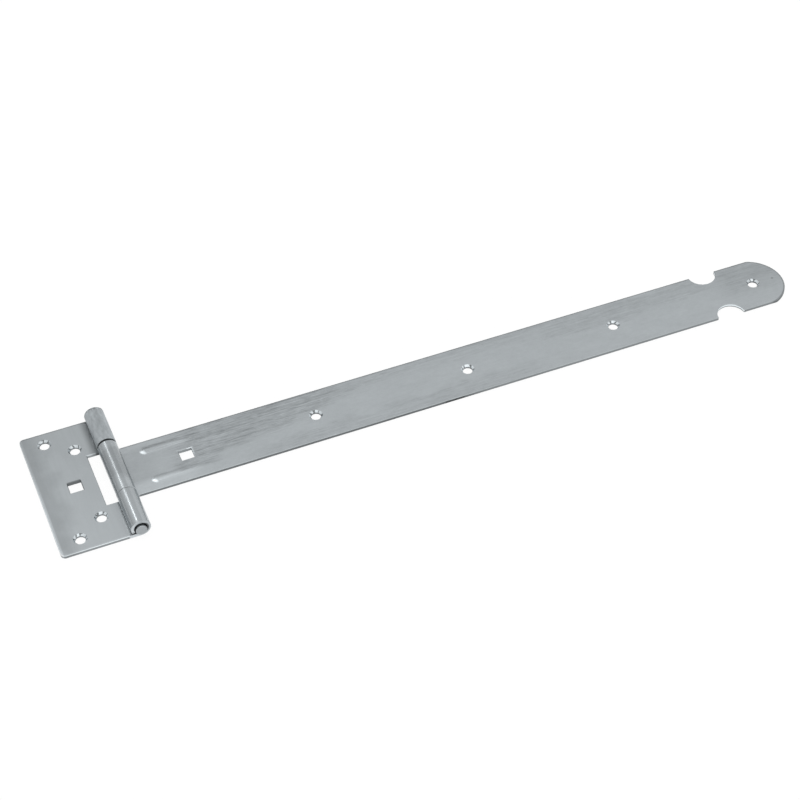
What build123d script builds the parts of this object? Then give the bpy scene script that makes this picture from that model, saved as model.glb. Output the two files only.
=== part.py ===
from build123d import *
import math
import os

# Tee hinge lying flat, opened right out. X runs along the strap to its tip, Y along
# the pin, Z up. Z = 0 is the back of both leaves, X = 0 lies under the pin's axis and
# Y = 0 is the strap's centre line.

# Sheet metal and pin
sheet = 2.5
pin_d = 7.6
pin_play = 0.35
pin_seat = 0.05
pin_stick_out = 1.7
pin_recess = 0.5
pin_rim = 0.5
roll_stop = 10.0
seam_gap = 0.9
seam_round = 0.5
arris = 0.35

# Strap leaf, fixed to the door or gate
strap_length = 500.0
strap_width = 45.0
head_depth = 15.35
head_blend = 6.0
notch_back = 51.85
notch_r = 10.0
notch_lip = 0.6
tip_hole_back = 22.35
hole_pitch = 111.0
hole_count = 4
strap_square_x = 47.1

# Plate leaf, fixed to the post
plate_height = 110.0
plate_width = 59.0
plate_corner = 3.0
strap_float = 1.8
near_gap = 0.3
knuckle_room = 7.45
window_corner = 0.6
outer_hole_x = 37.5
outer_hole_inset = 10.5
inner_hole_x = 20.0
inner_hole_off = 8.6
plate_square_x = 28.3

# Stiffening beads pressed up on either side of the strap's square hole
bead_inset = 9.0
bead_start = 23.0
bead_length = 37.0
bead_width = 8.0
bead_height = 0.9
bead_run_out = 0.08
bead_root = 0.4

# Holes for countersunk screws and for square-necked bolts
screw_d = 6.8
screw_head_d = 9.3
square_size = 9.0
punch_roll = 0.3

# Sizes that follow from those above
knuckle_in = pin_d / 2 + pin_play
knuckle_out = knuckle_in + sheet
axis_point = (0, knuckle_out)
roll_angle = 270 + roll_stop
stop_height = knuckle_out * (1 - math.sin(math.radians(roll_stop)))
lip = (stop_height - sheet - seam_gap) / math.cos(math.radians(roll_stop))
clear_height = 3 * knuckle_out
tip_x = strap_length - knuckle_out
half_strap = strap_width / 2
head_x = tip_x - head_depth
notch_x = tip_x - notch_back
tip_hole_x = tip_x - tip_hole_back
bead_y = half_strap - bead_inset
half_bead = bead_width / 2
quarter_bead = bead_width / 4
plate_left = knuckle_out - plate_width
plate_shift = strap_float / 2 - near_gap
window_length = strap_width + strap_float
window_x = -(knuckle_out + knuckle_room)
outer_hole_y = plate_height / 2 - outer_hole_inset
inner_hole_y = window_length / 2 + inner_hole_off
pin_length = plate_height + pin_stick_out - pin_recess
pin_drop = pin_play - pin_seat

# The plate leaf's sheet runs under the pin, rolls up on the strap's side and comes
# back over the top. Its last stretch runs straight down towards the plate's own face,
# where a narrow seam stays open
with BuildPart() as plate_leaf:
    with BuildSketch(Plane.XZ.offset(-plate_shift)) as plate_profile:
        with BuildLine():
            Line((plate_left, 0), (0, 0))
            outer_roll = CenterArc(axis_point, knuckle_out, -90, roll_angle)
            inner_roll = CenterArc(axis_point, knuckle_in, -90, roll_angle)
            outer_lip = Line(outer_roll @ 1, outer_roll @ 1 + lip * (outer_roll % 1))
            inner_lip = Line(inner_roll @ 1, inner_roll @ 1 + lip * (inner_roll % 1))
            Line(outer_lip @ 1, inner_lip @ 1)
            Line(inner_roll @ 0, (plate_left, sheet))
            Line((plate_left, sheet), (plate_left, 0))
        make_face()
        fillet(plate_profile.vertices().sort_by_distance(outer_lip @ 1)[0], seam_round)
    extrude(amount=plate_height / 2, both=True)
    fillet(plate_leaf.edges().filter_by(Axis.Z).group_by(Axis.X)[0], plate_corner)
    # Window between the two knuckles, in which the strap's knuckle turns
    with BuildSketch(Plane.XY):
        with Locations((window_x, plate_shift)):
            Rectangle(2 * knuckle_out - window_x, window_length, align=(Align.MIN, Align.CENTER))
    extrude(amount=clear_height, mode=Mode.SUBTRACT)
    window_edges = plate_leaf.edges().filter_by(Axis.Z).group_by(Axis.X)[-1]
    fillet(window_edges, window_corner)
    # Arrises broken all round the blank, the window and the knuckle ends
    blank_walls = plate_leaf.faces().filter_by(Axis.Y)
    chamfer(blank_walls.edges().filter_by(Axis.Z, reverse=True), arris)
    # An outer and an inner pair of screw holes, and one bolt hole
    with Locations(Plane.XY.offset(sheet)):
        with Locations((-outer_hole_x, plate_shift)):
            with GridLocations(0, 2 * outer_hole_y, 1, 2):
                CounterSinkHole(screw_d / 2, screw_head_d / 2, sheet, 90)
        with Locations((-inner_hole_x, plate_shift)):
            with GridLocations(0, 2 * inner_hole_y, 1, 2):
                CounterSinkHole(screw_d / 2, screw_head_d / 2, sheet, 90)
    with BuildSketch(Plane.XY):
        with Locations((-plate_square_x, plate_shift)):
            Rectangle(square_size, square_size)
    extrude(amount=sheet, mode=Mode.SUBTRACT)
    chamfer(plate_leaf.edges(Select.LAST).group_by(Axis.Z)[-1], punch_roll)
plate_leaf.part.label = "plate_leaf"

# The strap leaf's sheet is rolled the other way, up on the plate's side of the pin
with BuildPart() as strap_leaf:
    with BuildSketch(Plane.XZ) as strap_profile:
        with BuildLine():
            Line((tip_x, 0), (0, 0))
            outer_roll = CenterArc(axis_point, knuckle_out, -90, -roll_angle)
            inner_roll = CenterArc(axis_point, knuckle_in, -90, -roll_angle)
            outer_lip = Line(outer_roll @ 1, outer_roll @ 1 + lip * (outer_roll % 1))
            inner_lip = Line(inner_roll @ 1, inner_roll @ 1 + lip * (inner_roll % 1))
            Line(outer_lip @ 1, inner_lip @ 1)
            Line(inner_roll @ 0, (tip_x, sheet))
            Line((tip_x, sheet), (tip_x, 0))
        make_face()
        fillet(strap_profile.vertices().sort_by_distance(outer_lip @ 1)[0], seam_round)
    extrude(amount=half_strap, both=True)
    # Outline of the blank with its round head and the two half-round notches
    with BuildSketch(Plane.XY) as outline:
        with BuildLine():
            Polyline(
                (head_x, half_strap), (-2 * knuckle_out, half_strap),
                (-2 * knuckle_out, -half_strap), (head_x, -half_strap))
            ThreePointArc((head_x, -half_strap), (tip_x, 0), (head_x, half_strap))
        make_face()
        fillet(outline.vertices().group_by(Axis.X)[-1], head_blend)
        with GridLocations(0, strap_width, 1, 2):
            with Locations((notch_x, 0)):
                Circle(notch_r, mode=Mode.SUBTRACT)
        notch_corners = outline.vertices().filter_by_position(
            Axis.X, notch_x - notch_r - arris, notch_x + notch_r + arris)
        fillet(notch_corners, notch_lip)
    extrude(amount=clear_height, mode=Mode.INTERSECT)
    blank_walls = strap_leaf.faces().filter_by(Axis.Y)
    chamfer(blank_walls.edges().filter_by(Axis.Z, reverse=True), arris)
    # Screw holes in a row from the head back, and one bolt hole near the knuckle
    with Locations(Plane.XY.offset(sheet)):
        with Locations(*[(tip_hole_x - i * hole_pitch, 0) for i in range(hole_count)]):
            CounterSinkHole(screw_d / 2, screw_head_d / 2, sheet, 90)
    with BuildSketch(Plane.XY):
        with Locations((strap_square_x, 0)):
            Rectangle(square_size, square_size)
    extrude(amount=sheet, mode=Mode.SUBTRACT)
    chamfer(strap_leaf.edges(Select.LAST).group_by(Axis.Z)[-1], punch_roll)
    # Beads stand proud on the face and are hollow by as much on the back. Each swells
    # smoothly out of the sheet, is domed by the knuckle and runs out towards the tip
    for base, way in ((sheet, Mode.ADD), (0, Mode.SUBTRACT)):
        for side in (-bead_y, bead_y):
            bead = Plane((bead_start, side, base), x_dir=(0, 1, 0), z_dir=(1, 0, 0))
            for along, rise in ((0, bead_height), (bead_length, bead_run_out)):
                with BuildSketch(bead.offset(along)):
                    with BuildLine():
                        foot = TangentArc((-half_bead, 0), (-quarter_bead, rise / 2), tangent=(1, 0))
                        TangentArc(foot @ 1, (quarter_bead, rise / 2), tangent=foot % 1)
                        TangentArc((half_bead, 0), (quarter_bead, rise / 2), tangent=(-1, 0))
                        Polyline(
                            (half_bead, 0), (half_bead, -bead_root),
                            (-half_bead, -bead_root), (-half_bead, 0))
                    make_face()
            loft(mode=way)
            with BuildSketch(bead):
                with BuildLine():
                    foot = TangentArc((half_bead, 0), (quarter_bead, bead_height / 2), tangent=(-1, 0))
                    TangentArc(foot @ 1, (0, bead_height), tangent=foot % 1)
                    Polyline(
                        (0, bead_height), (0, -bead_root),
                        (half_bead, -bead_root), (half_bead, 0))
                make_face()
            revolve(axis=Axis((bead_start, side, 0), (0, 0, 1)), revolution_arc=180, mode=way)
strap_leaf.part.label = "strap_leaf"

# The pin lies low in the knuckles, stands out at one end and stops short at the other
with BuildPart() as hinge_pin:
    with BuildSketch(Plane.XZ.offset(plate_height / 2 + pin_stick_out - plate_shift)):
        with Locations((0, knuckle_out - pin_drop)):
            Circle(pin_d / 2)
    extrude(amount=-pin_length)
    fillet(hinge_pin.edges().filter_by(GeomType.CIRCLE), pin_rim)
hinge_pin.part.label = "hinge_pin"

os.makedirs("parts", exist_ok=True)
export_step(plate_leaf.part, "parts/plate_leaf.step")
export_step(strap_leaf.part, "parts/strap_leaf.step")
export_step(hinge_pin.part, "parts/hinge_pin.step")
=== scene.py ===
import bpy
from mathutils import Matrix, Vector


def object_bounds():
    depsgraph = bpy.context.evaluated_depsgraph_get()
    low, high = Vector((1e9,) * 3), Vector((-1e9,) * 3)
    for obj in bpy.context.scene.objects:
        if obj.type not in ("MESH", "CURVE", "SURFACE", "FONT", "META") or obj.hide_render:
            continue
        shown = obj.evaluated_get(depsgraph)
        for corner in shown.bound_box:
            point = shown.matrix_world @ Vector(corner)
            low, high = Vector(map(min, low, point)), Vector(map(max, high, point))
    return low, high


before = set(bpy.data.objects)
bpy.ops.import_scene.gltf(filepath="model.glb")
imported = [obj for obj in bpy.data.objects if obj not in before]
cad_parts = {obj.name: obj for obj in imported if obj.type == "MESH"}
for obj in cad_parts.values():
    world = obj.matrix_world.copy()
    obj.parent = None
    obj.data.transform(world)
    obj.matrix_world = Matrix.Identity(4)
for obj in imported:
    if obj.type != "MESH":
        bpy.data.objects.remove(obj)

cad_low, cad_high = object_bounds()
scene = bpy.context.scene
MM = 0.001

# Places on the hinge that the finishes follow, in millimetres. X runs along the strap to
# its tip, Y along the pin and Z up. X = 0 lies under the pin, Y = 0 along the strap's middle
SHEET = 2.5
ROLL = 8.0
BORE_R = 4.5
KNUCKLE_TOP = cad_high.z / MM
PIN_AXIS_Z = KNUCKLE_TOP / 2.0
SQUARE_HALF = 4.5
HOLE_REACH = 5.2
CHATTER_TEETH = 7.0

# Places on the strap
STRAP_HALF = 22.5
STRAP_TIP = cad_high.x / MM
STRAP_SQUARE_X = 47.1
TIP_HOLE_X = STRAP_TIP - 22.35
HOLE_PITCH = 111.0
NOTCH_X = STRAP_TIP - 51.85
NOTCH_REACH = 12.5
HEAD_X = NOTCH_X + 14.5
HEAD_R = 24.17
HEAD_CENTRE_X = STRAP_TIP - HEAD_R
HEAD_NICK_X = STRAP_TIP - 7.05
HEAD_NICK_Y = -0.6
BEAD_X = 23.0
BEAD_Y = STRAP_HALF - 9.0
GLINT_X = BEAD_X - 2.1
GLINT_DROP = 1.35
GLINT_SLANT = 0.66
GLINT_STRETCH = 0.32
BURN_FROM = 224.0
BURN_TO = 236.0
BURN_END = 250.0

# Places on the plate
PLATE_LEFT = cad_low.x / MM
PLATE_FAR = cad_high.y / MM
PLATE_NEAR = PLATE_FAR - 110.0
PLATE_MIDDLE = PLATE_FAR - 55.0
PLATE_SQUARE_X = -28.3
OUTER_HOLE = (-37.5, 44.5)
INNER_HOLE = (-20.0, 32.0)
WINDOW_LEFT = -14.1
WINDOW_FAR = PLATE_MIDDLE + 23.4

# Clean zinc, as a metal's reflection colour, and the fine relief of its surface
ZINC = (0.393, 0.421, 0.436)
STRAP_ROUGHNESS = 0.33
PLATE_ROUGHNESS = 0.32
PIN_ROUGHNESS = 0.28
SHEARED_ROUGHER = 0.12
SHEET_BUMP = 0.03
PIN_BUMP = 0.04
BUMP_STRENGTH = 0.3


class Nodes:
    """Adds and links shader nodes. Each value is a node's output or a plain number."""

    def __init__(self, tree):
        self.tree = tree

    def add(self, kind, **settings):
        node = self.tree.nodes.new(kind)
        for name, value in settings.items():
            setattr(node, name, value)
        return node

    def put(self, socket, value):
        if isinstance(value, bpy.types.NodeSocket):
            self.tree.links.new(value, socket)
        else:
            socket.default_value = value

    def math(self, operation, a, b=0.0, c=0.0):
        node = self.add("ShaderNodeMath", operation=operation)
        for socket, value in zip(node.inputs, (a, b, c)):
            self.put(socket, value)
        return node.outputs[0]

    def times(self, *factors):
        product = factors[0]
        for factor in factors[1:]:
            product = self.math("MULTIPLY", product, factor)
        return product

    def plus(self, start, *terms):
        """Adds to the start each term, which is a value and its weight."""
        total = start
        for value, weight in terms:
            total = self.math("MULTIPLY_ADD", value, weight, total)
        return total

    def minus(self, a, b):
        return self.math("SUBTRACT", a, b)

    def inverse(self, mask):
        return self.minus(1.0, mask)

    def centred(self, noise):
        return self.minus(noise, 0.5)

    def size(self, value):
        return self.math("ABSOLUTE", value)

    def length(self, a, b):
        return self.math("SQRT", self.plus(self.times(a, a), (b, b)))

    def strongest(self, *areas):
        """The largest of several areas, each a mask and its weight."""
        top = 0.0
        for mask, weight in areas:
            top = self.math("MAXIMUM", top, self.times(mask, weight))
        return top

    def mark(self, tone, *marks):
        """Multiplies the tone by the factor of each mark where the mark's mask is 1."""
        for mask, factor in marks:
            tone = self.times(tone, self.plus(self.inverse(mask), (mask, factor)))
        return tone

    def ramp(self, value, low, high, out_low=0.0, out_high=1.0):
        """A smooth step from out_low to out_high as the value goes from low to high."""
        node = self.add("ShaderNodeMapRange", clamp=True, interpolation_type="SMOOTHSTEP")
        for name, setting in (
            ("Value", value), ("From Min", low), ("From Max", high),
            ("To Min", out_low), ("To Max", out_high),
        ):
            self.put(node.inputs[name], setting)
        return node.outputs["Result"]

    def fall(self, value, low, high):
        """1 below low and 0 above high."""
        return self.ramp(value, low, high, 1.0, 0.0)

    def band(self, value, low, high, soft):
        """1 between low and high, falling to 0 over the soft width outside them."""
        return self.times(self.ramp(value, low - soft, low), self.fall(value, high, high + soft))

    def box(self, a, b, half, soft):
        """1 where a and b are both within half of zero."""
        return self.times(self.band(a, -half, half, soft), self.band(b, -half, half, soft))

    def scaled(self, vector, scale, offset=(0.0, 0.0, 0.0)):
        node = self.add("ShaderNodeMapping", vector_type="POINT")
        self.put(node.inputs["Vector"], vector)
        node.inputs["Scale"].default_value = scale
        node.inputs["Location"].default_value = offset
        return node.outputs["Vector"]

    def split(self, vector):
        node = self.add("ShaderNodeSeparateXYZ")
        self.put(node.inputs[0], vector)
        return node.outputs

    def mix(self, factor, first, second):
        """The first shader, or the second where the factor is 1."""
        node = self.add("ShaderNodeMixShader")
        for socket, value in zip(node.inputs, (factor, first, second)):
            self.put(socket, value)
        return node.outputs[0]

    def both(self, first, second):
        node = self.add("ShaderNodeAddShader")
        self.put(node.inputs[0], first)
        self.put(node.inputs[1], second)
        return node.outputs[0]

    def grey(self, kind, level):
        """A shader of that kind in a neutral colour."""
        node = self.add(kind)
        node.inputs["Color"].default_value = (level, level, level, 1.0)
        return node.outputs[0]


def new_material(name):
    material = bpy.data.materials.new(name)
    material.use_nodes = True
    material.node_tree.nodes.clear()
    return material, Nodes(material.node_tree)


class Skin:
    """Coordinates, noise, masks and shader that the three zinc finishes share."""

    def __init__(self, name):
        self.material, self.n = new_material(name)
        n = self.n
        coordinates = n.add("ShaderNodeTexCoord")
        self.mm = n.scaled(coordinates.outputs["Object"], (1.0 / MM, 1.0 / MM, 1.0 / MM))
        self.x, self.y, self.z = n.split(self.mm)
        self.nx, self.ny, self.nz = n.split(coordinates.outputs["Normal"])
        up = n.size(self.nz)
        self.wall = n.fall(up, 0.25, 0.55)
        self.arris = n.band(up, 0.60, 0.86, 0.06)

    def noise(self, scale, detail, rough, offset=(0.0, 0.0, 0.0)):
        """Noise from 0 to 1, with a scale per millimetre for each axis."""
        n = self.n
        texture = n.add("ShaderNodeTexNoise", noise_dimensions="3D")
        n.put(texture.inputs["Vector"], n.scaled(self.mm, scale, offset))
        texture.inputs["Scale"].default_value = 1.0
        texture.inputs["Detail"].default_value = detail
        texture.inputs["Roughness"].default_value = rough
        return texture.outputs["Fac"]

    def wave(self, scale, detail, rough, offset=(0.0, 0.0, 0.0)):
        """Such noise about zero, mostly from -1 to 1."""
        return self.n.math("MULTIPLY_ADD", self.noise(scale, detail, rough, offset), 4.0, -2.0)

    def chatter_glints(self, u, v):
        """Tool marks that a countersink's teeth leave round a hole, painted as bright glints and
        dark marks.
        """
        n = self.n
        angle = n.math("ARCTAN2", v, u)
        uneven = self.wave((0.30, 0.30, 0.30), 1.0, 0.5)
        teeth = n.math("SINE", n.plus(n.times(angle, CHATTER_TEETH), (uneven, 2.2)))
        return n.ramp(teeth, -0.95, -0.30, 0.45, 1.75)

    def bore_shade(self):
        """Painted shade: 1 inside the knuckles and round the pin, where neither light nor
        plating reaches, widened to the right as the pin's painted shadow on the knuckle's end
        face.
        """
        n = self.n
        reach = n.length(self.x, n.minus(self.z, PIN_AXIS_Z))
        inside = n.minus(reach, n.ramp(self.x, 1.5, 4.5, 0.0, 0.6))
        return n.fall(inside, BORE_R, BORE_R + 0.4)

    def crest_reflection(self):
        """1 along the top of a knuckle, where a darker reflection is painted."""
        n = self.n
        top = n.ramp(self.z, KNUCKLE_TOP - 3.3, KNUCKLE_TOP - 1.3)
        return n.times(n.band(self.x, -0.4, 1.4, 0.9), top)

    def finish(self, tone, roughness, relief, bump_mm):
        n = self.n
        colour = n.add("ShaderNodeVectorMath", operation="SCALE")
        colour.inputs[0].default_value = ZINC
        n.put(colour.inputs["Scale"], tone)
        shader = n.add("ShaderNodeBsdfPrincipled")
        n.put(shader.inputs["Base Color"], colour.outputs[0])
        shader.inputs["Metallic"].default_value = 1.0
        n.put(shader.inputs["Roughness"], roughness)
        bump = n.add("ShaderNodeBump")
        bump.inputs["Strength"].default_value = BUMP_STRENGTH
        bump.inputs["Distance"].default_value = bump_mm * MM
        n.put(bump.inputs["Height"], relief)
        n.put(shader.inputs["Normal"], bump.outputs["Normal"])
        out = n.add("ShaderNodeOutputMaterial")
        n.put(out.inputs["Surface"], shader.outputs[0])
        return self.material


def strap_zinc():
    """Rolled strip: dark streaks along the far half, scratches, sheared edges darkened partly as
    painted shade, and painted light and shade on the beads, rims and knuckle.
    """
    s = Skin("zinc_strap")
    n, x, y, z = s.n, s.x, s.y, s.z
    flat = n.ramp(x, ROLL - 1.0, ROLL + 1.0)
    rolled = n.inverse(flat)
    front = n.ramp(s.nz, 0.0, 0.3)

    # Streaks and rows run along the strip, and patches and gaps break them up
    long_streaks = s.noise((0.022, 0.33, 0.33), 4.0, 0.65)
    fine_streaks = s.noise((0.075, 1.05, 1.05), 3.0, 0.65)
    scratches = s.noise((0.10, 1.9, 1.9), 1.0, 0.5, (3.0, 7.0, 0.0))
    patches = s.noise((0.13, 0.45, 0.45), 4.0, 0.65, (5.0, 2.0, 0.0))
    gaps = s.noise((0.24, 0.9, 0.9), 2.0, 0.6, (2.0, 9.0, 0.0))
    grain = s.noise((0.9, 1.4, 1.4), 2.0, 0.6)
    rows = s.wave((0.02, 1.5, 1.5), 2.0, 0.6, (1.0, 4.0, 0.0))
    mottle = s.wave((0.05, 0.09, 0.09), 3.0, 0.5)
    blotch = s.wave((0.20, 0.34, 0.34), 2.0, 0.6, (6.0, 3.0, 0.0))
    broken = n.ramp(patches, 0.40, 0.60)
    dashes = n.times(rows, n.ramp(gaps, 0.38, 0.62, 0.25, 1.6))

    # Where the dark streaks lie: the long smear behind the bolt hole, whose foot slopes, the
    # far edge, a second smear before the notches, the head, the near edge and by the bolt hole
    edge = n.plus(y, (mottle, 5.0))
    smear_foot = n.ramp(x, 80.0, 195.0, -7.0, 12.0)
    smear = n.times(
        n.ramp(n.minus(edge, smear_foot), -4.0, 5.0),
        n.ramp(x, 26.0, 56.0), n.fall(x, 140.0, 200.0))
    far_edge = n.times(n.ramp(edge, 7.0, 20.0), n.band(x, 150.0, 330.0, 30.0))
    second = n.times(n.band(edge, 7.0, 18.0, 6.0), n.band(x, 330.0, 425.0, 40.0))
    head = n.times(n.ramp(edge, -18.0, 12.0), n.ramp(x, HEAD_X - 25.0, HEAD_X + 5.0))
    near_edge = n.times(n.fall(edge, -14.0, -9.0), n.band(x, 110.0, 270.0, 40.0))
    by_bolt = n.times(n.band(y, -14.0, -6.0, 1.5), n.band(x, 41.0, 62.0, 9.0))
    stain = n.strongest(
        (smear, 1.0), (far_edge, 0.42), (second, 0.50), (head, 0.45), (near_edge, 0.36),
        (by_bolt, 0.90))

    # Streaks are dark and broken inside these areas and barely seen outside them
    streak = n.ramp(n.plus(long_streaks, (fine_streaks, 1.4)), 1.05, 1.32)
    streak = n.times(streak, n.plus(0.30, (broken, 0.70)))
    depth = n.plus(-0.11, (streak, -0.17), (dashes, 0.15))
    faint_dashes = n.times(dashes, n.ramp(x, 30.0, 60.0))
    # Painted shade darkens the strap beside the knuckle
    shade_by_knuckle = n.times(n.fall(x, 12.0, 42.0), n.band(edge, -9.0, 15.0, 5.0))
    tone = n.plus(
        1.02, (stain, depth), (head, -0.10), (faint_dashes, 0.018), (blotch, 0.03),
        (mottle, 0.03), (shade_by_knuckle, -0.13), (n.centred(grain), 0.13))

    # Short scratches along the strip, dark and light
    seen = n.times(flat, n.plus(0.08, (stain, 0.80)))
    dark_scratch = n.times(n.ramp(scratches, 0.60, 0.68), seen)
    light_scratch = n.times(n.fall(scratches, 0.32, 0.40), seen)
    tone = n.mark(tone, (dark_scratch, 0.72), (light_scratch, 1.12))

    # The corner by the near bead is lighter. The near side of each bead's crown has a painted
    # highlight, the beads' far feet are painted lighter, and each domed end has a painted
    # slanting glint. Painted shade lies along the far bead's foot
    corner = n.times(n.band(x, 6.0, 42.0, 14.0), n.fall(y, -18.0, -9.0))
    off_bead = n.minus(n.size(y), BEAD_Y)
    across = n.times(off_bead, n.math("SIGN", y))
    on_bead = n.times(
        front, n.ramp(x, BEAD_X - 3.0, BEAD_X), n.fall(x, BEAD_X + 15.0, BEAD_X + 40.0))
    crown_highlight = n.times(
        n.band(across, -2.3, -0.9, 0.8), on_bead,
        n.ramp(y, 0.0, 1.0, 0.4, 1.0), n.ramp(dashes, -0.5, 0.5))
    foot = n.times(n.band(across, 1.4, 3.4, 0.9), on_bead, broken)
    foot_shade = n.times(foot, n.ramp(y, 0.0, 1.0))
    glint_x = n.minus(x, GLINT_X)
    glint_y = n.math("ADD", across, GLINT_DROP)
    from_glint = n.length(
        n.times(n.minus(glint_x, glint_y), GLINT_STRETCH),
        n.times(n.math("ADD", glint_x, glint_y), GLINT_SLANT))
    glint = n.times(front, n.fall(n.plus(from_glint, (mottle, 0.3)), 0.4, 1.5))
    tone = n.mark(tone, (corner, 1.12), (crown_highlight, 1.34), (foot, 1.10), (foot_shade, 0.72), (glint, 2.1))

    # Sheared edges are dark, partly from their rougher finish and partly as painted shade, the
    # near one paler towards the tip, with one burnt stretch. The punched notches are bright
    # above, partly their burnished band and partly a painted highlight, and dark below
    wall = n.times(s.wall, flat)
    by_notch = n.times(
        n.band(x, NOTCH_X - NOTCH_REACH, NOTCH_X + NOTCH_REACH, 1.0),
        n.band(n.size(y), STRAP_HALF - NOTCH_REACH, STRAP_HALF - 0.2, 0.2))
    notch = n.times(wall, by_notch)
    upper = n.ramp(z, 0.9, 1.3)
    near_wall = n.times(wall, n.fall(y, 1.0 - STRAP_HALF, 2.0 - STRAP_HALF))
    near_tone = n.ramp(x, BURN_TO, BURN_END, 0.78, 1.16)
    burn = n.times(near_wall, n.band(x, BURN_FROM, BURN_TO, 2.0))
    tone = n.mark(
        tone, (n.times(wall, n.inverse(by_notch)), 0.54), (near_wall, near_tone), (burn, 0.5),
        (n.times(notch, upper), 2.1), (n.times(notch, n.inverse(upper)), 0.65))

    # The bolt hole's walls, right-hand rim and far and right lips carry painted glints, and the
    # screw holes' rims have tool marks painted as bright glints and dark marks
    central = n.band(y, -6.0, 6.0, 0.5)
    rim = n.times(s.arris, flat, central)
    from_square = n.minus(x, STRAP_SQUARE_X)
    by_square = n.band(from_square, -SQUARE_HALF - 1.0, SQUARE_HALF + 1.0, 0.5)
    square_wall = n.times(wall, central, by_square)
    right_rim = n.times(rim, by_square, n.ramp(from_square, 0.0, 3.0))
    far_lip = n.times(by_square, n.band(y, SQUARE_HALF + 0.3, SQUARE_HALF + 0.9, 0.3))
    right_lip = n.times(
        n.band(from_square, SQUARE_HALF + 0.2, SQUARE_HALF + 0.8, 0.3),
        n.band(y, -2.0, SQUARE_HALF, 1.0))
    screw_rim = n.times(rim, n.inverse(by_square))
    from_hole = n.math("WRAP", n.minus(x, TIP_HOLE_X), HOLE_PITCH / 2.0, -HOLE_PITCH / 2.0)
    tone = n.mark(
        tone, (square_wall, 1.6), (right_rim, 2.0), (far_lip, 1.18), (right_lip, 1.30),
        (screw_rim, s.chatter_glints(from_hole, y)))

    # Painted shade as dark rims along the far edge and round the head, and a nick in the head
    head_rim = n.times(
        n.ramp(n.length(n.minus(x, HEAD_CENTRE_X), y), HEAD_R - 1.5, HEAD_R - 0.6),
        n.ramp(x, HEAD_X + 14.0, HEAD_X + 20.0))
    far_rim = n.times(n.ramp(y, STRAP_HALF - 1.6, STRAP_HALF - 0.6), flat)
    rim_shade = n.strongest((head_rim, 1.0), (far_rim, 1.0))
    from_nick = n.length(n.minus(x, HEAD_NICK_X), n.minus(y, HEAD_NICK_Y))
    nick = n.times(n.fall(from_nick, 0.4, 1.1), front)

    # Painted shade in the seam under the knuckle's lip and in the knuckle's inside, and a
    # painted darker reflection along the knuckle's top
    seam_shade = n.times(n.band(x, 2.0, 7.0, 0.4), n.band(z, SHEET + 0.1, SHEET + 1.9, 0.5))
    tone = n.mark(
        tone, (rim_shade, 0.62), (nick, 0.6), (seam_shade, 0.40), (s.crest_reflection(), 0.84), (s.bore_shade(), 0.25),
        (rolled, 0.97))

    # The rolled knuckle is burnished smoother than the flat
    roughness = n.plus(
        STRAP_ROUGHNESS, (long_streaks, 0.10), (rolled, -0.10), (wall, SHEARED_ROUGHER))
    relief = n.times(grain, n.plus(1.0, (rolled, -0.65)))
    return s.finish(tone, roughness, relief, SHEET_BUMP)


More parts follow.
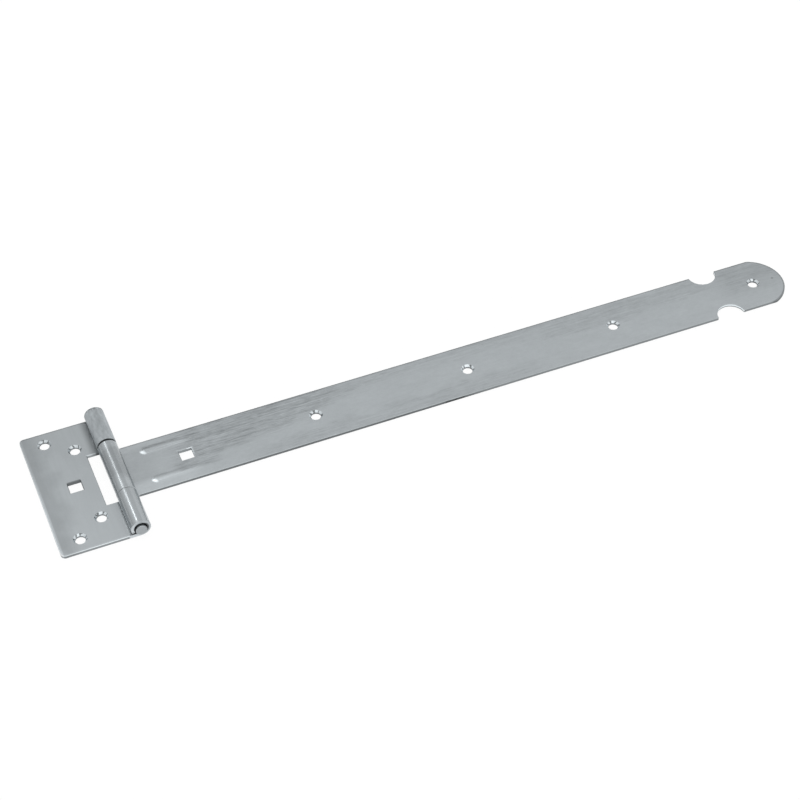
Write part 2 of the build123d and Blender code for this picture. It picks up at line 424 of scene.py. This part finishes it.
def plate_zinc():
    """Plate: darker towards its left edge, painted highlights along its arrises, one knuckle
    left matt.
    """
    s = Skin("zinc_plate")
    n, x, y, z = s.n, s.x, s.y, s.z
    flat = n.fall(x, -ROLL - 0.6, -ROLL + 0.6)
    rolled = n.inverse(flat)
    from_left = n.minus(x, PLATE_LEFT)
    from_near = n.minus(y, PLATE_NEAR)
    from_far = n.minus(PLATE_FAR, y)
    mottle = s.wave((0.07, 0.07, 0.07), 3.0, 0.5)
    streaks = s.noise((0.5, 0.05, 0.5), 4.0, 0.6)
    grain = s.noise((1.3, 1.3, 1.3), 2.0, 0.6)

    left = n.ramp(n.plus(from_left, (mottle, 4.0)), 0.0, 20.35, 0.80, 1.0)
    along = n.ramp(y, -50.0, 55.0, 1.03, 0.91)
    tone = n.plus(
        n.times(left, along), (mottle, 0.025), (n.centred(streaks), 0.12),
        (n.centred(grain), 0.06))

    # Sheared walls are dark, partly from their rougher finish and partly as painted shade. The
    # arrises and strips along the near and left edges and the near left corner carry painted
    # highlights, and the far edge painted shade
    wall = n.times(s.wall, flat)
    near_arris = n.times(s.arris, flat, n.fall(from_near, 1.4, 3.4))
    near_strip = n.times(flat, n.fall(from_near, 0.8, 1.8))
    left_arris = n.times(s.arris, n.fall(from_left, 0.55, 1.35))
    left_strip = n.times(n.fall(from_left, 0.95, 2.15), n.ramp(y, -10.0, 50.0, 1.0, 0.4))
    corner = n.times(n.fall(from_left, 1.35, 6.35), n.fall(from_near, 1.4, 8.4))
    far_strip = n.fall(from_far, 0.7, 1.7)
    tone = n.mark(
        tone, (wall, 0.64), (near_arris, 1.5), (near_strip, 1.12), (left_arris, 1.9),
        (left_strip, 1.42), (corner, 1.18), (far_strip, 0.74))

    # The bolt hole's rim and far lip are darkened as painted shade and the window's far lip
    # brightened as a painted highlight. The screw holes' rims have tool marks painted as bright
    # glints and dark marks
    from_square = n.minus(x, PLATE_SQUARE_X)
    from_middle = n.minus(y, PLATE_MIDDLE)
    square_rim = n.times(s.arris, n.box(from_square, from_middle, HOLE_REACH, 0.2))
    far_lip = n.times(
        n.band(from_square, 0.2 - SQUARE_HALF, SQUARE_HALF - 0.2, 0.3),
        n.band(from_middle, SQUARE_HALF - 0.1, SQUARE_HALF + 0.8, 0.25))
    window_lip = n.times(
        flat, n.band(x, WINDOW_LEFT, 0.5 - ROLL, 0.5),
        n.band(y, WINDOW_FAR, WINDOW_FAR + 0.7, 0.3))
    tone = n.mark(tone, (square_rim, 0.6), (far_lip, 0.62), (window_lip, 1.45))
    for hole_x, hole_y in (OUTER_HOLE, INNER_HOLE):
        u = n.minus(x, hole_x)
        v = n.minus(n.size(from_middle), hole_y)
        screw_rim = n.times(s.arris, n.box(u, v, HOLE_REACH, 0.3))
        tone = n.mark(tone, (screw_rim, s.chatter_glints(u, v)))

    # Painted shade in the seam and along the lip's edge under the near knuckle's lip, a painted
    # highlight on the far knuckle's lip, painted shade on the plate's face beside it, painted
    # shade in the knuckle's inside, a painted darker reflection along the near knuckle's top,
    # and a dark joint between it and the strap's knuckle
    far = n.ramp(y, WINDOW_FAR - 2.0, WINDOW_FAR - 1.0)
    near = n.inverse(far)
    lip = n.times(rolled, n.band(x, -7.2, -2.0, 0.3))
    seam_shade = n.times(lip, near, n.band(z, SHEET + 0.1, SHEET + 0.8, 0.2))
    lip_edge = n.times(lip, near, n.band(z, SHEET + 1.7, SHEET + 2.4, 0.4))
    lip_highlight = n.times(lip, far, n.band(z, SHEET + 0.7, SHEET + 2.9, 0.6))
    beside_shade = n.times(
        n.ramp(x, -13.0, -7.0), n.fall(z, SHEET + 0.1, SHEET + 0.5),
        n.ramp(y, WINDOW_FAR - 4.0, WINDOW_FAR))
    crest_reflection = n.times(s.crest_reflection(), near)
    joint = n.times(rolled, n.band(y, WINDOW_FAR - 4.0, WINDOW_FAR, 0.2))
    tone = n.mark(
        tone, (seam_shade, 0.45), (lip_edge, 0.66), (lip_highlight, 1.30), (beside_shade, 0.56), (crest_reflection, 0.86),
        (s.bore_shade(), 0.25), (joint, 0.35))

    # The far knuckle is matt and mottled, its flanks painted lighter than its top as light, the
    # near one burnished, its end face painted pale as light, most to its left
    matt = n.times(rolled, far)
    smooth = n.times(rolled, near)
    blotch = n.times(matt, s.wave((0.40, 0.13, 0.40), 5.0, 0.7))
    speckle = n.times(matt, s.wave((0.9, 0.9, 0.9), 2.0, 0.6), n.fall(from_far, 1.1, 4.1))
    tone = n.plus(tone, (blotch, 0.22), (speckle, 0.40))
    flank_light = n.ramp(n.size(x), 0.8, 4.5, 1.02, 1.22)
    end = n.times(rolled, n.fall(s.ny, -0.9, -0.6), n.fall(from_near, 1.0, 2.0))
    tone = n.mark(tone, (matt, flank_light), (end, n.ramp(x, -3.0, 4.0, 1.42, 1.14)))
    burnish = n.ramp(from_near, 2.4, 28.4, -0.16, -0.09)
    end_rim = n.ramp(from_near, 0.4, 2.9, 0.20, 0.0)
    roughness = n.plus(
        PLATE_ROUGHNESS, (streaks, 0.10), (matt, 0.24), (smooth, burnish), (smooth, end_rim),
        (wall, SHEARED_ROUGHER))
    relief = n.times(grain, n.plus(1.0, (smooth, -0.65)))
    return s.finish(tone, roughness, relief, SHEET_BUMP)


def pin_zinc():
    """Drawn pin: turned marks round it, and a rim on its end painted lighter at its upper left
    and darker at its lower right as light and shade.
    """
    s = Skin("zinc_pin")
    n = s.n
    turned = s.noise((0.3, 2.2, 0.3), 3.0, 0.6)
    mottle = s.noise((0.5, 0.5, 0.5), 3.0, 0.55)
    grain = s.noise((1.8, 1.8, 1.8), 2.0, 0.6)
    tone = n.plus(0.92, (n.centred(turned), 0.147), (n.centred(mottle), 0.184))
    rim = n.band(n.size(s.ny), 0.35, 0.92, 0.1)
    rim_light_and_shade = n.ramp(n.minus(s.nz, s.nx), -0.5, 0.3, 0.55, 1.2)
    tone = n.mark(tone, (rim, rim_light_and_shade))
    roughness = n.plus(PIN_ROUGHNESS, (mottle, 0.14))
    return s.finish(tone, roughness, grain, PIN_BUMP)


finishes = {"strap_leaf": strap_zinc(), "plate_leaf": plate_zinc(), "hinge_pin": pin_zinc()}
for name, finish in finishes.items():
    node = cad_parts[name]
    node.data.materials.clear()
    node.data.materials.append(finish)


def seen_white(n):
    """1 for the rays that see the ground white."""
    path = n.add("ShaderNodeLightPath").outputs
    return n.math("MAXIMUM", path["Is Camera Ray"], path["Is Transmission Ray"])


# White floor that keeps a faint shadow. It is clear to the camera and from below, where
# the white world stands behind it, so the strap still shows when it swings past the floor
FLOOR_HALF = 6.0
FLOOR_WHITE = 0.93
FLOOR_SHADE = 0.08
FLOOR_PLAIN = 0.8
FLOOR_DROP = 0.0004
floor_z = cad_low.z - FLOOR_DROP
corners = ((-1, -1), (1, -1), (1, 1), (-1, 1))
points = [(u * FLOOR_HALF, v * FLOOR_HALF, floor_z) for u, v in corners]
mesh = bpy.data.meshes.new("floor")
mesh.from_pydata(points, [], [(0, 1, 2, 3)])
floor = bpy.data.objects.new("floor", mesh)
scene.collection.objects.link(floor)
material, n = new_material("white_floor")
material.cycles.emission_sampling = "NONE"
shade = n.grey("ShaderNodeBsdfDiffuse", FLOOR_SHADE)
mirrored = n.both(n.grey("ShaderNodeEmission", FLOOR_WHITE), shade)
seen = n.both(n.grey("ShaderNodeBsdfTransparent", FLOOR_WHITE), shade)
glossy = n.add("ShaderNodeLightPath").outputs["Is Glossy Ray"]
surface = n.mix(glossy, n.grey("ShaderNodeBsdfDiffuse", FLOOR_PLAIN), mirrored)
surface = n.mix(seen_white(n), surface, seen)
below = n.add("ShaderNodeNewGeometry").outputs["Backfacing"]
surface = n.mix(below, surface, n.grey("ShaderNodeBsdfTransparent", 1.0))
n.put(n.add("ShaderNodeOutputMaterial").inputs["Surface"], surface)
floor.data.materials.append(material)

# White studio tent: white to the camera, and softly darker down its sides to the metal
HORIZON = 0.57
OVERHEAD = 1.05
RIGHT_SIDE = 0.27
world = bpy.data.worlds.new("studio")
scene.world = world
world.use_nodes = True
world.node_tree.nodes.clear()
n = Nodes(world.node_tree)
way = n.split(n.add("ShaderNodeTexCoord").outputs["Generated"])
level = n.ramp(way["Z"], -0.05, 0.85, HORIZON, OVERHEAD)
right = n.times(n.ramp(way["X"], 0.30, 0.75, 0.0, RIGHT_SIDE), n.fall(way["Z"], 0.30, 0.70))
tent = n.add("ShaderNodeBackground")
tent.inputs["Color"].default_value = (1.0, 1.0, 1.0, 1.0)
n.put(tent.inputs["Strength"], n.math("ADD", level, right))
sky = n.mix(seen_white(n), tent.outputs[0], n.grey("ShaderNodeBackground", 1.0))
n.put(n.add("ShaderNodeOutputWorld").inputs["Surface"], sky)


def softbox(name, direction, aim, distance, width, height, power):
    """A soft lamp that looks at a point of the hinge from that direction."""
    lamp = bpy.data.lights.new(name, "AREA")
    lamp.shape = "RECTANGLE"
    lamp.size = width
    lamp.size_y = height
    lamp.energy = power
    holder = bpy.data.objects.new(name, lamp)
    scene.collection.objects.link(holder)
    back = Vector(direction).normalized()
    holder.location = Vector(aim) + back * distance
    holder.rotation_euler = back.to_track_quat("Z", "Y").to_euler()


softbox(
    "back_lamp", direction=(-0.24, 0.67, 0.70), aim=(0.0, 0.0, 0.0),
    distance=1.6, width=0.20, height=0.26, power=0.58)
softbox(
    "front_top", direction=(0.05, -0.45, 0.90), aim=(0.2, 0.0, 0.0),
    distance=2.0, width=1.8, height=1.4, power=5.0)

# Camera solved from the photograph's straight edges and holes
FOCAL_PX = 1934.5573
IMAGE_PX = 800.0
SENSOR_MM = 36.0
ROTVEC = Vector((2.3183872, -0.4639519, 0.1637856))
SHIFT = Vector((-184.1690, 50.4407, 1264.2587))
camera = bpy.data.cameras.new("camera")
camera.sensor_width = SENSOR_MM
camera.lens = FOCAL_PX * SENSOR_MM / IMAGE_PX
camera.clip_start = 0.01
camera.clip_end = 50.0
eye = bpy.data.objects.new("camera", camera)
scene.collection.objects.link(eye)
turn = Matrix.Rotation(ROTVEC.length, 3, ROTVEC.normalized()).transposed()
flip = Matrix(((1, 0, 0), (0, -1, 0), (0, 0, -1)))
place = Matrix.Translation((turn @ -SHIFT) * MM)
eye.matrix_world = place @ (turn @ flip).to_4x4()
scene.camera = eye

scene.view_settings.view_transform = "Standard"
